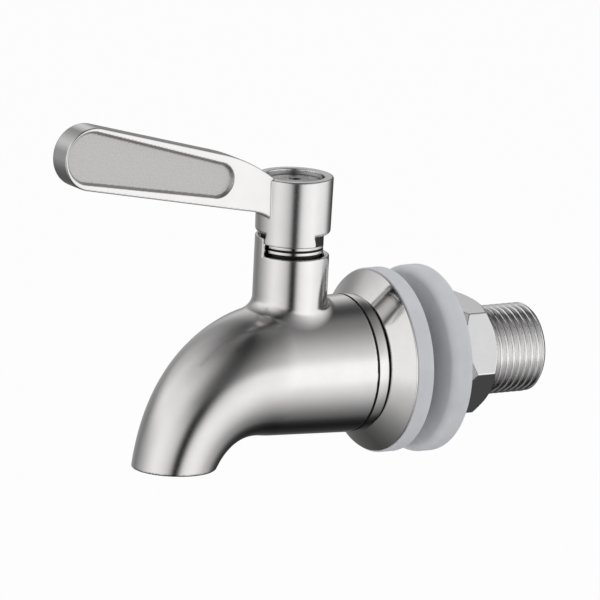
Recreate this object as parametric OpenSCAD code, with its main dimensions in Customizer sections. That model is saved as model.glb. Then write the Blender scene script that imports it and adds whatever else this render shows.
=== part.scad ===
// Beverage dispenser spigot: a quarter-turn ball valve with a curved spout and a lever on top.
// The shank runs along +Y into the tank wall, the spout and the lever point along -Y, and +Z is up.
// The origin is on the shank's axis, at the back face of the flange. Sizes are millimetres.

/* [Shank and flange] */
// Outside diameter of the pipe thread
thread_d = 16.66; // [15:0.01:20]
// Distance between two turns of the thread
thread_pitch = 1.337; // [1:0.001:1.6]
// Depth of the thread
thread_depth = 0.84; // [0.5:0.01:0.9]
// Distance from the flange to the first turn
thread_start = 1.1; // [0.8:0.05:6]
// Length of the shank behind the flange
shank_len = 33.74; // [30:0.01:60]
// Chamfer at the end of the shank
shank_chamfer = 0.5; // [0.2:0.05:1]
// Diameter of the waterway through the shank and the valve
bore_d = 10; // [7:0.1:10.4]
// Thickness of the flange at its rim
flange_rim = 0.3; // [0.2:0.05:0.8]
// Length of the flange's cone
cone_len = 3.1; // [2:0.05:6]
// Diameter of the cone at its narrow end
cone_small_d = 24.8; // [23:0.1:25.4]
// Width of the groove between the cone and the ring
neck_groove_len = 0.36; // [0.2:0.02:0.8]
// Diameter at the bottom of that groove
neck_groove_d = 23.6; // [22:0.1:24.4]
// Width of the brushed ring in front of the cone
ring_len = 2.34; // [1.5:0.02:4]
// Rounding of the edges of the ring and of the back of the body
ring_edge = 0.2; // [0.1:0.05:0.4]
// Gap that shows between the ring and the body
joint_gap = 0.1; // [0.05:0.01:0.3]
// Diameter of the spigot that screws into the body
spigot_d = 20.8; // [19.6:0.1:21.6]
// Length of that spigot
spigot_len = 3.95; // [3.4:0.05:5]

/* [Body] */
// Diameter of the barrel at its back edge
barrel_d = 25.92; // [25:0.01:30]
// Distance from the back edge of the body to the stem's axis
stem_setback = 12.3; // [12:0.05:16]
// Distance from the stem's axis to the start of the bend
bend_start = 4.5; // [3:0.1:8]
// Diameter of the body at the start of the bend
bend_d = 24.6; // [23.6:0.1:26]
// Distance from the stem's axis to the end of the bend
spout_reach = 24.2; // [22:0.1:36]
// Height of the end of the bend below the shank's axis
spout_drop = 18.4; // [17.9:0.1:30]
// Level of the cut mouth below the shank's axis
mouth_drop = 17.2; // [14:0.1:17.2]
// Slant of the spout at its mouth, in degrees from the vertical
mouth_slant = 11.3; // [0:0.1:14]
// Diameter of the spout at the end of the bend
spout_d = 15.12; // [14.6:0.01:18]
// Diameter of the mouth's straight bore
mouth_bore_d = 12; // [11:0.1:12.2]
// Depth of that bore
mouth_bore_len = 4; // [2:0.1:5]

/* [Neck] */
// Diameter of the neck
neck_d = 14; // [13.8:0.01:16]
// Height of the neck's rim above the shank's axis
neck_top = 22; // [21.5:0.05:26]
// Fillet at the front of the neck
fillet_front = 3.2; // [1.5:0.1:4]
// Fillet at the back of the neck
fillet_back = 1.8; // [1:0.1:3]
// Diameter of the bore that holds the gland nut
gland_bore_d = 11.8; // [11.2:0.01:12]
// Chamfer at the mouth of that bore
gland_mouth = 0.4; // [0.1:0.05:0.5]
// Height of the stop tab above the rim
tab_h = 3.4; // [2.4:0.05:3.8]
// Angle at which the stop tab begins, anticlockwise from +X
tab_start = 100; // [98:1:110]
// Angle that the stop tab covers
tab_sweep = 178; // [150:1:178]

/* [Ball and seats] */
// Diameter of the ball
ball_d = 15; // [14.4:0.05:15.4]
// Distance from the ball's centre to the outer face of a seat
seat_face = 8.3; // [8.1:0.05:8.5]
// Distance from the ball's centre to the inner face of a seat
seat_inner = 4.75; // [4.7:0.05:5.5]
// Diameter of the hole through the ball and its seats
port_d = 9.4; // [7:0.1:9.4]
// Diameter of the chamber that holds the ball and its seats
chamber_d = 18; // [17:0.1:18.4]
// Width of the slot across the top of the ball
slot_w = 3.2; // [2.4:0.1:3.6]
// Thickness of metal left between the slot and the ball's bore
slot_floor = 0.5; // [0.3:0.05:0.8]

/* [Stem] */
// Diameter of the stem where its two rings seal
stem_d = 6.8; // [6.2:0.05:7]
// Diameter of the stem above the rings
stem_upper_d = 6.1; // [5.8:0.05:6.1]
// Diameter of the foot that keeps the stem in
foot_d = 8.8; // [8:0.05:9.2]
// Thickness of the foot
foot_h = 1.8; // [1.2:0.05:2]
// Gap between the ball and the foot
foot_gap = 0.5; // [0.2:0.05:0.8]
// Thickness of the thrust washer
thrust_h = 1; // [0.6:0.05:1.2]
// Thickness of a sealing ring's section
oring_t = 1.1; // [0.8:0.05:1.2]
// Height of the lower sealing ring above the thrust washer
oring_first = 1.9; // [1.4:0.05:2.2]
// Distance between the two sealing rings
oring_step = 2.6; // [2:0.05:2.8]
// Height of the stem's bore in the neck
stem_bore_h = 6.6; // [6.2:0.05:7]
// Width across the flats of the stem's square
square_w = 4.3; // [4:0.05:4.3]
// Height of the packing
packing_h = 1.95; // [1.5:0.05:2.2]
// Height of the gland nut above the neck's rim
gland_rise = 4.3; // [3.9:0.05:4.6]
// Height of the groove round the gland nut
gland_groove_h = 0.6; // [0.3:0.05:0.8]
// Depth of that groove
gland_groove_depth = 0.4; // [0.2:0.05:0.8]
// Height of the groove above the neck's rim
gland_groove_z = 1.2; // [0.8:0.05:1.4]
// Thickness of the glide washer under the lever
glide_h = 0.6; // [0.4:0.05:0.8]

/* [Lever] */
// Diameter of the hub at its top
hub_d = 14.4; // [14:0.01:16]
// Diameter of the hub at its lower edge
hub_low_d = 14.1; // [13.8:0.01:15.6]
// Gap between the neck's rim and the hub's lower edge
hub_lift = 4.1; // [4:0.05:4.6]
// Height of the hub
hub_h = 10.75; // [10:0.05:14]
// Rounding of the hub's lower edge
hub_round = 0.7; // [0.3:0.05:1]
// Rounding of the hub's top edge
hub_edge = 0.35; // [0.1:0.05:0.6]
// Distance that the skirt hangs below the hub
skirt_h = 1.85; // [1.2:0.05:2]
// Angle at which the skirt begins, anticlockwise from +X
skirt_start = -80; // [-80:1:-60]
// Angle that the skirt covers
skirt_sweep = 88; // [60:1:88]
// Thickness of the web that the stem's square goes through
web_h = 5.4; // [4.6:0.05:6]
// Diameter of the recess in the top of the hub
recess_d = 10.9; // [10.7:0.01:12]
// Thickness of the lever's blade
blade_t = 5; // [4:0.05:6]
// Distance from the stem's axis to the centre of the tip
tip_out = 45.6; // [40:0.1:80]
// Height of the tip's centre above the neck's rim
tip_rise = 21.65; // [18:0.05:30]
// Radius of the tip
tip_r = 6; // [5:0.05:8]
// Slope of the blade's top edge in degrees
top_slope = 14.5; // [8:0.1:18]
// Slope of the blade's bottom edge in degrees
bottom_slope = 10.5; // [6:0.1:14]
// Length of the blend between the hub and the blade's bottom edge
bottom_blend = 6.3; // [5:0.1:8]
// Length of the blend between the hub and the blade's top edge
top_blend = 10.3; // [9:0.1:12]
// Rounding of the blade's edges
blade_edge = 0.5; // [0.45:0.05:0.7]
// Depth of the grip panel in each side of the blade
panel_depth = 0.8; // [0.3:0.05:1.2]
// Width of the sloped wall round the panel
panel_wall = 0.45; // [0.2:0.05:0.8]
// Radius of the panel at the tip
panel_tip_r = 5.1; // [4:0.05:7]
// Distance from the stem's axis to the centre of the panel's end at the tip
panel_tip_out = 46.1; // [40:0.1:80]
// Height of that centre above the neck's rim
panel_tip_rise = 21.9; // [18:0.05:30]
// Radius of the panel at its end near the hub
panel_root_r = 3.4; // [2:0.05:3.8]
// Distance from the stem's axis to the panel's end near the hub
panel_root_out = 18.3; // [16:0.1:30]
// Height of that end's centre above the neck's rim
panel_root_rise = 15.65; // [14:0.05:18]

/* [Handle screw] */
// Diameter of the screw's head
head_d = 10.4; // [9:0.05:10.4]
// Height of the head's straight side
head_side = 1.85; // [1:0.05:2.2]
// Height of the head's dome
head_dome = 0.45; // [0.2:0.05:0.8]
// Diameter of the screw's shank
screw_d = 2.9; // [2.4:0.05:3]
// Length of the screw's shank
screw_len = 9.4; // [7:0.1:10]
// Width across the flats of the socket
socket_w = 2; // [1.5:0.1:3]
// Depth of the socket
socket_depth = 1.4; // [0.8:0.05:1.8]
// Thickness of the flat washer
flat_washer_h = 0.66; // [0.4:0.02:1]
// Thickness of the split lock washer
lock_washer_h = 0.76; // [0.5:0.02:1]
// Outside diameter of the split lock washer
lock_washer_d = 6.4; // [5:0.1:8]
// Width of its split
lock_split = 0.5; // [0.3:0.05:1]

/* [Sealing washers and nut] */
// Diameter of the outer sealing washer
outer_seal_d = 34.56; // [30:0.01:44]
// Thickness of the outer sealing washer
outer_seal_t = 3.41; // [2:0.01:5]
// Rounding of its outer edges
outer_seal_edge = 0.3; // [0.1:0.05:0.6]
// Distance that it stands out past the rim of the flange
seal_overhang = 0.31; // [0.1:0.01:1]
// Gap left between the two washers for the tank's wall
wall_gap = 4.19; // [4.15:0.01:4.6]
// Diameter of the inner sealing washer
inner_seal_d = 35; // [30:0.01:44]
// Thickness of the inner sealing washer
inner_seal_t = 4.3; // [3:0.05:6]
// Rounding of the inner washer's outer edge
inner_seal_round = 1.5; // [0.5:0.05:2]
// Distance that the inner washer hangs below the shank's axis
inner_seal_sag = 0.3; // [0:0.05:0.5]
// Gap between the inner washer and the nut
nut_gap = 3.4; // [0.5:0.05:6]
// Width of the nut across its flats
nut_w = 20.1; // [19:0.05:24]
// Thickness of the nut
nut_t = 6.45; // [4:0.05:8]
// Length of the nut's chamfer at its corners
nut_chamfer = 1.4; // [0.5:0.05:1.8]
// Turn of the nut, in degrees from a flat on top
nut_turn = 21.4; // [0:0.1:60]

/* [Hidden] */

// Fine circles
$fn = 96;
// Overlap of cutting shapes
eps = 0.05;
// Radial clearance of a shaft or a seat in its bore
fit = 0.05;
// Clearance between two flat faces
face = 0.02;
// Clearance over a face that turns
glide = 0.05;
// Clearance of a loose washer on the shank
loose = 0.07;
// Radial clearance between the lever's skirt and the gland nut
skirt_clear = 0.2;
// Extra width of a groove over its sealing ring, and how far the ring stands out of it
groove_play = 0.3;
ring_proud = 0.03;
// Distance from the spigot's front end to its groove
spigot_groove_in = 0.75;
// Distance that the stem's square stays below the top of the web
square_low = 0.3;
// Distance that the tang stays inside the foot's edge, and the glide washer inside the gland nut's
tang_in = 0.4;
glide_in = 0.25;
// Depth of the stem's threaded hole past the screw's end
hole_play = 0.6;

// Places along the shank, from the flange's back face towards the spout
cone_y = -(flange_rim + cone_len);
ring_back_y = cone_y - neck_groove_len;
ring_front_y = ring_back_y - ring_len;
body_y = ring_front_y - joint_gap;
stem_y = body_y - stem_setback;
front_face_y = stem_y - seat_face;
rear_face_y = stem_y + seat_face;
spigot_y = ring_front_y - spigot_len - joint_gap;
spigot_groove_y = spigot_y + spigot_groove_in;

// Heights up the stem, from the ball's centre
ball_r = ball_d / 2;
port_r = port_d / 2;
slot_z = port_r + slot_floor;
foot_z = ball_r + foot_gap;
foot_top = foot_z + foot_h;
thrust_z = foot_top + glide;
shoulder_z = thrust_z + thrust_h + face;
oring_z = [shoulder_z + oring_first, shoulder_z + oring_first + oring_step];
packing_z = shoulder_z + stem_bore_h;
gland_z = packing_z + packing_h + face;
gland_top = neck_top + gland_rise;
glide_z = gland_top + glide;
web_z = glide_z + glide_h + glide;
hub_z = neck_top + hub_lift;
hub_top = hub_z + hub_h;
recess_z = web_z + web_h;
flat_washer_z = recess_z + face;
lock_washer_z = flat_washer_z + flat_washer_h + face;
head_z = lock_washer_z + lock_washer_h + face;
stem_top = recess_z - square_low;

// Places of the washers and the nut behind the flange
outer_seal_y = face;
inner_seal_y = outer_seal_t + wall_gap;
nut_y = inner_seal_y + inner_seal_t + nut_gap;

// Width of the grooves for the sealing rings
groove_w = oring_t + groove_play;

// Radii
flange_r = outer_seal_d / 2 - seal_overhang;
shank_r = thread_d / 2;
bore_r = bore_d / 2;
stem_bore_r = stem_d / 2 + fit;
gland_r = gland_bore_d / 2 - fit;
skirt_r = gland_r + skirt_clear;

// Centreline of the bend as a cubic curve of [y, z], and the radii of the body along it
bend_lead = 1.6;
bend_pull = 18.4;
bend_squeeze = 3.35;
bend_path = [[stem_y - bend_start, 0], [stem_y - bend_start - bend_lead, 0],
    [stem_y - spout_reach + bend_pull * sin(mouth_slant), -spout_drop + bend_pull * cos(mouth_slant)],
    [stem_y - spout_reach, -spout_drop]];
bend_taper = (barrel_d - bend_d) / 2 / (stem_setback + bend_start);
bend_radii = [bend_d / 2, bend_d / 2 - bend_lead * bend_taper, bend_d / 2 - bend_squeeze, spout_d / 2];
// Number of rings along the bend and of points round it
bend_steps = 28;
ring_sides = 48;
water_sides = 28;

// A value on a cubic curve, its rate of change, and the rate along the bend's length
function cubic(p, t) = pow(1 - t, 3) * p[0] + 3 * pow(1 - t, 2) * t * p[1]
    + 3 * (1 - t) * t * t * p[2] + pow(t, 3) * p[3];
function cubic_rate(p, t) = 3 * pow(1 - t, 2) * (p[1] - p[0]) + 6 * (1 - t) * t * (p[2] - p[1])
    + 3 * t * t * (p[3] - p[2]);
function along(t) = cubic_rate(bend_path, t) / norm(cubic_rate(bend_path, t));
function taper(t) = cubic_rate(bend_radii, t) / norm(cubic_rate(bend_path, t));

// A ring of points round a centre [y, z], square to a direction [y, z]
function ring(c, dir, r, n) = [for (i = [0:n - 1]) let (a = 360 * i / n)
    [r * cos(a), c[0] + r * sin(a) * dir[1], c[1] - r * sin(a) * dir[0]]];
// The ring where a ball of the body's radius touches the skin, as the ball moves along the bend
function skin_ring(t) = let (r = cubic(bend_radii, t), k = taper(t))
    ring(cubic(bend_path, t) - r * k * along(t), along(t), r * sqrt(1 - k * k), ring_sides);
// Balls inside the barrel and the bend: [centre y, centre z, radius]
barrel_balls = [for (i = [0:24]) let (s = i / 24)
    [body_y - s * (stem_setback + bend_start), 0, barrel_d / 2 * (1 - s) + bend_d / 2 * s]];
bend_balls = [for (i = [1:40]) let (t = i / 40, c = cubic(bend_path, t))
    [c[0], c[1], cubic(bend_radii, t)]];
balls = concat(barrel_balls, bend_balls);
// Height of the body's top above a point [x, y]
function top_z(x, y) = max([for (b = balls) let (q = b[2] * b[2] - x * x - pow(y - b[0], 2))
    q > 0 ? b[1] + sqrt(q) : -spout_drop]);

// Faces of a skin over rings of n points, closed at both ends
function skin_faces(rings, n) = concat(
    [for (i = [0:rings - 2]) for (j = [0:n - 1]) let (k = (j + 1) % n)
        [i * n + j, (i + 1) * n + j, (i + 1) * n + k]],
    [for (i = [0:rings - 2]) for (j = [0:n - 1]) let (k = (j + 1) % n)
        [i * n + j, (i + 1) * n + k, i * n + k]],
    [[for (j = [0:n - 1]) j]],
    [[for (j = [n - 1:-1:0]) (rings - 1) * n + j]]);
// Faces of a skin over rings of n points that closes on itself
function loop_faces(rings, n) = [for (i = [0:rings - 1]) for (j = [0:n - 1]) for (h = [0, 1])
    let (a = i * n + j, b = i * n + (j + 1) % n, i2 = (i + 1) % rings,
        c = i2 * n + (j + 1) % n, d = i2 * n + j)
    h == 0 ? [a, d, c] : [a, c, b]];
function flat(lists) = [for (l = lists) for (p = l) p];

module skin(rings) {
    polyhedron(flat(rings), skin_faces(len(rings), len(rings[0])), convexity = 6);
}

// A cylinder along +Y from y0 to y1
module along_y(y0, y1, r) {
    translate([0, y0, 0]) rotate([-90, 0, 0]) cylinder(h = y1 - y0, r = r);
}

// A profile of [radius, y] turned about the shank's axis
module turned_y(profile) {
    rotate([-90, 0, 0]) rotate_extrude() polygon(profile);
}

// A profile of [radius, z] turned about the stem's axis
module turned_z(profile) {
    translate([0, stem_y, 0]) rotate_extrude() polygon(profile);
}

// A cylinder about the stem's axis from z0 to z1
module up_stem(z0, z1, r) {
    translate([0, stem_y, z0]) cylinder(h = z1 - z0, r = r);
}

// A part of a tube about the stem's axis
module sector(z0, z1, r0, r1, start, sweep) {
    translate([0, stem_y, z0]) rotate([0, 0, start]) rotate_extrude(angle = sweep)
        translate([r0, 0]) square([r1 - r0, z1 - z0]);
}

// The neck with the fillet that blends it into the body
module neck() {
    sink = 0.15;
    inner = gland_bore_d / 2 - 0.9;
    r0 = neck_d / 2;
    steps = 7;
    rings = [for (i = [0:ring_sides - 1]) let (a = 360 * i / ring_sides, d = [cos(a), sin(a)],
        f = (fillet_front + fillet_back) / 2 - d[1] * (fillet_front - fillet_back) / 2,
        root = top_z(r0 * d[0], stem_y + r0 * d[1]),
        toe = top_z((r0 + f) * d[0], stem_y + (r0 + f) * d[1]))
        concat(
            [[inner * d[0], stem_y + inner * d[1], neck_top], [r0 * d[0], stem_y + r0 * d[1], neck_top]],
            [for (k = [0:steps]) let (b = 90 * k / steps, r = r0 + f * (1 - cos(b)))
                [r * d[0], stem_y + r * d[1],
                    top_z(r * d[0], stem_y + r * d[1]) + f * (1 - sin(b)) - sink]],
            [[(r0 + f) * d[0], stem_y + (r0 + f) * d[1], toe - 1],
                [inner * d[0], stem_y + inner * d[1], root - 2]])];
    polyhedron(flat(rings), loop_faces(ring_sides, steps + 5), convexity = 6);
    up_stem(0, packing_z - 1, r0 - 0.5);
}

// The outside of the body: barrel, bend and spout in one sweep
module body_skin() {
    back = ring([body_y, 0], [-1, 0], barrel_d / 2, ring_sides);
    skin(concat([back], [for (i = [0:bend_steps]) skin_ring(i / bend_steps)]));
}

// The waterway through the bend
module waterway() {
    start = ring([stem_y - bend_start + bore_r, 0], [-1, 0], bore_r, water_sides);
    skin(concat([start], [for (i = [0:bend_steps]) let (t = i / bend_steps)
        ring(cubic(bend_path, t), along(t), bore_r, water_sides)]));
}

// The mouth's bore stands on the spout's centreline, a quarter of the way up
module spout_body() {
    mouth_y = stem_y - spout_reach + (spout_drop - mouth_drop + mouth_bore_len / 4) * tan(mouth_slant);
    reach = spout_reach + barrel_d;
    color("silver") difference() {
        union() {
            body_skin();
            neck();
            sector(neck_top - 0.5, neck_top + tab_h, gland_bore_d / 2 - 0.5, neck_d / 2 - eps,
                tab_start, tab_sweep);
        }
        translate([-barrel_d, stem_y - reach, -mouth_drop - barrel_d])
            cube([2 * barrel_d, reach, barrel_d]);
        along_y(spigot_y - face, body_y + eps, spigot_d / 2 + fit);
        along_y(front_face_y - face, spigot_y, chamber_d / 2);
        waterway();
        translate([0, mouth_y, -mouth_drop - eps])
            cylinder(h = mouth_bore_len + eps, r = mouth_bore_d / 2);
        up_stem(0, shoulder_z, foot_d / 2 + 4 * fit);
        up_stem(0, packing_z, stem_bore_r);
        up_stem(packing_z - face, neck_top + tab_h + eps, gland_bore_d / 2);
        gland_chamfer();
    }
}

// The chamfer at the mouth of the gland's bore
module gland_chamfer() {
    turned_z([[0, neck_top - gland_mouth], [gland_bore_d / 2, neck_top - gland_mouth],
        [gland_bore_d / 2 + gland_mouth, neck_top],
        [gland_bore_d / 2 + gland_mouth, neck_top + tab_h + eps], [0, neck_top + tab_h + eps]]);
}

// Width of the flat on a crest and in a root of the thread, and of a flank, as shares of the pitch
thread_flat = 0.14;
thread_flank = 0.5 - thread_flat;
// Outline of the thread's rings, one groove for each turn in front of the end's chamfer
thread_turns = floor((shank_len - shank_chamfer - thread_start) / thread_pitch);
thread_outline = [for (i = [0:thread_turns - 1])
    let (y = thread_start + i * thread_pitch, root_r = shank_r - thread_depth)
    for (p = [[shank_r, 0], [root_r, thread_flank], [root_r, 0.5], [shank_r, 0.5 + thread_flank]])
        [p[0], y + p[1] * thread_pitch]];

module inlet_adapter() {
    ring_r = barrel_d / 2;
    color("gainsboro") difference() {
        turned_y(concat([[bore_r, spigot_y], [spigot_d / 2, spigot_y],
            [spigot_d / 2, ring_front_y], [ring_r - ring_edge, ring_front_y],
            [ring_r, ring_front_y + ring_edge], [ring_r, ring_back_y - ring_edge],
            [ring_r - ring_edge, ring_back_y], [neck_groove_d / 2, ring_back_y],
            [neck_groove_d / 2, cone_y], [cone_small_d / 2, cone_y],
            [flange_r, -flange_rim], [flange_r, 0], [shank_r, 0]],
            thread_outline,
            [[shank_r, shank_len - shank_chamfer], [shank_r - shank_chamfer, shank_len],
                [bore_r, shank_len]]));
        difference() {
            along_y(spigot_groove_y, spigot_groove_y + groove_w, spigot_d / 2 + eps);
            along_y(spigot_groove_y - eps, spigot_groove_y + groove_w + eps,
                spigot_d / 2 - oring_t - fit);
        }
    }
}

module adapter_o_ring() {
    color("dimgray") translate([0, spigot_groove_y + groove_w / 2, 0]) rotate([-90, 0, 0])
        rotate_extrude() translate([spigot_d / 2 + ring_proud - oring_t / 2, 0])
            circle(d = oring_t, $fn = 32);
}

// A seat ring, hollowed to the ball, on the side of the ball that side gives (-1 or 1)
module seat(side) {
    color("white") difference() {
        translate([0, stem_y, 0]) rotate([-90 * side, 0, 0]) translate([0, 0, seat_inner])
            cylinder(h = seat_face - seat_inner, r = chamber_d / 2 - fit);
        translate([0, stem_y, 0]) sphere(r = ball_r + glide);
        along_y(front_face_y - eps, rear_face_y + eps, port_r);
    }
}

module front_seat() {
    seat(-1);
}

module rear_seat() {
    seat(1);
}

module valve_ball() {
    color("lightgray") difference() {
        translate([0, stem_y, 0]) sphere(r = ball_r);
        along_y(stem_y - ball_d, stem_y + ball_d, port_r);
        translate([-ball_r, stem_y - slot_w / 2, slot_z]) cube([ball_d, slot_w, ball_d]);
    }
}

module stem() {
    tang_w = slot_w - 2 * fit;
    tang_z = slot_z + 4 * face;
    color("silver") difference() {
        union() {
            intersection() {
                translate([-foot_d / 2, stem_y - tang_w / 2, tang_z])
                    cube([foot_d, tang_w, foot_z - tang_z + eps]);
                up_stem(0, foot_top, foot_d / 2 - tang_in);
            }
            up_stem(foot_z, foot_top, foot_d / 2);
            up_stem(foot_top - eps, packing_z - 4 * fit, stem_d / 2);
            up_stem(packing_z - 5 * fit, web_z - face, stem_upper_d / 2);
            translate([-square_w / 2, stem_y - square_w / 2, web_z - 1])
                cube([square_w, square_w, stem_top - web_z + 1]);
        }
        for (z = oring_z) difference() {
            up_stem(z - groove_w / 2, z + groove_w / 2, stem_d);
            up_stem(z - groove_w, z + groove_w, stem_d / 2 - oring_t - fit);
        }
        up_stem(head_z - screw_len - hole_play, stem_top + eps, screw_d / 2 + fit);
    }
}

module stem_thrust_washer() {
    color("white") difference() {
        up_stem(thrust_z, thrust_z + thrust_h, foot_d / 2 + 2 * fit);
        up_stem(thrust_z - eps, thrust_z + thrust_h + eps, stem_d / 2 + fit);
    }
}

// A sealing ring round the stem at height z
module stem_ring(z) {
    color("dimgray") translate([0, stem_y, z]) rotate_extrude()
        translate([stem_d / 2 + ring_proud - oring_t / 2, 0]) circle(d = oring_t, $fn = 32);
}

module lower_stem_o_ring() {
    stem_ring(oring_z[0]);
}

module upper_stem_o_ring() {
    stem_ring(oring_z[1]);
}

module gland_packing() {
    color("white") difference() {
        up_stem(packing_z, packing_z + packing_h, gland_r);
        up_stem(packing_z - eps, packing_z + packing_h + eps, stem_upper_d / 2 + fit);
    }
}

module gland_nut() {
    groove_z = neck_top + gland_groove_z;
    color("silver") difference() {
        up_stem(gland_z, gland_top, gland_r);
        up_stem(gland_z - eps, gland_top + eps, stem_upper_d / 2 + fit);
        difference() {
            up_stem(groove_z, groove_z + gland_groove_h, gland_bore_d);
            up_stem(groove_z - eps, groove_z + gland_groove_h + eps, gland_r - gland_groove_depth);
        }
    }
}

module glide_washer() {
    color("white") difference() {
        up_stem(glide_z, glide_z + glide_h, gland_r - glide_in);
        up_stem(glide_z - eps, glide_z + glide_h + eps, stem_upper_d / 2 + fit);
    }
}

// An arc of points about a centre, from angle a0 to angle a1
function arc(c, r, a0, a1, n) = [for (i = [0:n]) let (a = a0 + (a1 - a0) * i / n)
    [c[0] + r * cos(a), c[1] + r * sin(a)]];
// The outline moved inwards by d; its points run anticlockwise
function inset(pts, d) = let (n = len(pts)) [for (i = [0:n - 1])
    let (e0 = pts[i] - pts[(i + n - 1) % n], e1 = pts[(i + 1) % n] - pts[i],
        n0 = [-e0[1], e0[0]] / norm(e0), n1 = [-e1[1], e1[0]] / norm(e1), m = n0 + n1)
    pts[i] + m * (2 * d / (m * m))];
// A slot with round ends of two radii: the far end at c1, the near end at c0
function capsule(c0, r0, c1, r1) = let (v = c1 - c0, a = atan2(v[1], v[0]), b = acos((r0 - r1) / norm(v)))
    concat(arc(c1, r1, a - b, a + b, 20), arc(c0, r0, a + b, a + 360 - b, 16));
// Where the blade's edges start: inside the hub's side, above its lower edge and above its top
root_in = 0.9;
root_low = 3;
root_high = 0.45;
// How the two blends leave the hub, as [outwards, up], and how far they follow the blade's edge
bottom_leave = [1.2, 1.7];
bottom_follow = 3;
top_leave = [3.5, 2.5];
top_follow = 4.2;
// The blade's outline as [distance from the stem's axis, z]
function blade_outline() = let (c = [tip_out, neck_top + tip_rise], root = hub_d / 2 - root_in,
    bottom_dir = [1, tan(bottom_slope)], top_dir = [1, tan(top_slope)],
    bottom0 = c + tip_r * [sin(bottom_slope), -cos(bottom_slope)],
    top0 = c + tip_r * [-sin(top_slope), cos(top_slope)],
    bottom1 = bottom0 - (bottom0[0] - hub_d / 2 - bottom_blend) * bottom_dir,
    top1 = top0 - (top0[0] - hub_d / 2 - top_blend) * top_dir,
    bottom2 = [root, hub_z + root_low], top2 = [root, hub_top + root_high],
    bottom_curve = [bottom2, bottom2 + bottom_leave, bottom1 - bottom_follow * bottom_dir, bottom1],
    top_curve = [top1, top1 - top_follow * top_dir, top2 + top_leave, top2])
    concat(
        [for (i = [0:7]) cubic(bottom_curve, i / 7)],
        arc(c, tip_r, bottom_slope - 90, top_slope + 90, 24),
        [for (i = [0:8]) cubic(top_curve, i / 8)]);

// A plate across X made of outlines, each at its own x, from the highest x down
module plate(layers) {
    skin([for (i = [len(layers) - 1:-1:0]) [for (p = layers[i][1]) [layers[i][0], stem_y - p[0], p[1]]]]);
}

module blade() {
    outline = blade_outline();
    half = blade_t / 2;
    e = blade_edge;
    plate([[-half, inset(outline, e)], [-half + 0.3 * e, inset(outline, 0.3 * e)], [-half + e, outline],
        [half - e, outline], [half - 0.3 * e, inset(outline, 0.3 * e)], [half, inset(outline, e)]]);
}

// The sunken grip panel on the side of the blade that side gives (-1 or 1)
module panel(side) {
    half = blade_t / 2;
    far = [panel_tip_out, neck_top + panel_tip_rise];
    near = [panel_root_out, neck_top + panel_root_rise];
    layers = [for (s = [0, 1, 1.25]) [half - panel_depth * (1 - s),
        capsule(near, panel_root_r - panel_wall * (1 - s), far, panel_tip_r - panel_wall * (1 - s))]];
    mirror([side < 0 ? 1 : 0, 0, 0]) plate(layers);
}

module lever_handle() {
    r0 = hub_low_d / 2;
    r1 = hub_d / 2;
    rr = recess_d / 2;
    color("silver") difference() {
        union() {
            turned_z([[skirt_r, hub_z], [r0 - hub_round, hub_z],
                [r0 - 0.3 * hub_round, hub_z + 0.3 * hub_round], [r0, hub_z + hub_round],
                [r1, hub_top - hub_edge], [r1 - 0.3 * hub_edge, hub_top - 0.3 * hub_edge],
                [r1 - hub_edge, hub_top], [rr + hub_edge / 2, hub_top], [rr, hub_top - hub_edge / 2],
                [rr, recess_z], [0, recess_z], [0, web_z], [skirt_r, web_z]]);
            sector(hub_z - skirt_h, hub_z + hub_round, skirt_r, r0, skirt_start, skirt_sweep);
            difference() {
                blade();
                panel(-1);
                panel(1);
            }
        }
        translate([-square_w / 2 - fit, stem_y - square_w / 2 - fit, web_z - eps])
            cube([square_w + 2 * fit, square_w + 2 * fit, web_h + 2 * eps]);
    }
}

module handle_screw() {
    hr = head_d / 2;
    side_z = head_z + head_side;
    dome_r = (hr * hr + head_dome * head_dome) / (2 * head_dome);
    dome = [for (i = [1:6]) let (r = hr * (1 - i / 6))
        [r, side_z + head_dome - dome_r + sqrt(dome_r * dome_r - r * r)]];
    color("gray") difference() {
        turned_z(concat([[0, head_z - screw_len], [screw_d / 2, head_z - screw_len],
            [screw_d / 2, head_z], [hr, head_z], [hr, side_z]], dome));
        translate([0, stem_y, side_z + head_dome - socket_depth])
            cylinder(h = socket_depth + eps, r = socket_w / 2 / cos(30), $fn = 6);
    }
}

module lock_washer() {
    color("silver") difference() {
        up_stem(lock_washer_z, lock_washer_z + lock_washer_h, lock_washer_d / 2);
        up_stem(lock_washer_z - eps, lock_washer_z + lock_washer_h + eps, screw_d / 2 + 2 * fit);
        translate([0, stem_y - lock_split / 2, lock_washer_z - eps])
            cube([lock_washer_d, lock_split, lock_washer_h + 2 * eps]);
    }
}

module flat_washer() {
    color("silver") difference() {
        up_stem(flat_washer_z, flat_washer_z + flat_washer_h, recess_d / 2 - 4 * fit);
        up_stem(flat_washer_z - eps, flat_washer_z + flat_washer_h + eps, screw_d / 2 + 2 * fit);
    }
}

module outer_seal_washer() {
    r = outer_seal_d / 2;
    e = outer_seal_edge;
    color([0.86, 0.87, 0.88]) turned_y([[shank_r + loose, outer_seal_y], [r - e, outer_seal_y],
        [r, outer_seal_y + e], [r, outer_seal_t - e], [r - e, outer_seal_t],
        [shank_r + loose, outer_seal_t]]);
}

module inner_seal_washer() {
    r = inner_seal_d / 2;
    y1 = inner_seal_y + inner_seal_t;
    hole_r = shank_r + inner_seal_sag + face;
    color([0.86, 0.87, 0.88]) translate([0, 0, -inner_seal_sag]) turned_y(concat(
        [[hole_r, inner_seal_y]],
        arc([r - inner_seal_round, inner_seal_y + inner_seal_round], inner_seal_round, -90, 0, 8),
        arc([r - inner_seal_round / 2, y1 - inner_seal_round / 2], inner_seal_round / 2, 0, 90, 5),
        [[hole_r, y1]]));
}

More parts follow.
